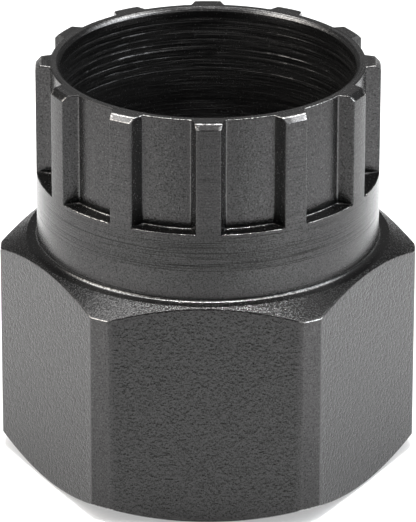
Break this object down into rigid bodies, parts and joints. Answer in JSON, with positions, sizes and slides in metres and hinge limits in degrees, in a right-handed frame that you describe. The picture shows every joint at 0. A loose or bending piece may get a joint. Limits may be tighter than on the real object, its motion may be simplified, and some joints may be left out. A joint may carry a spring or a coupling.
{
  "type": "lockring tool",
  "caption": "One-piece steel socket tool: a bevelled hexagon foot, a round neck and a ring of straight teeth round a thin rim, with a bore right through.",
  "frame": {"origin": "on the tool's axis at the flat foot face of the hexagon", "axes": "+Z along the axis from the foot to the toothed rim; one flat of the hexagon faces -Y and two of its corners point along +X and -X"},
  "size_m": [0.0284, 0.0252, 0.0286],
  "materials": {
    "black_steel": "black oxide over a fine blasted and turned surface, semi-gloss"
  },
  "bodies": {
    "root": {"lockring_tool": "black_steel"}
  },
  "joints": []
}
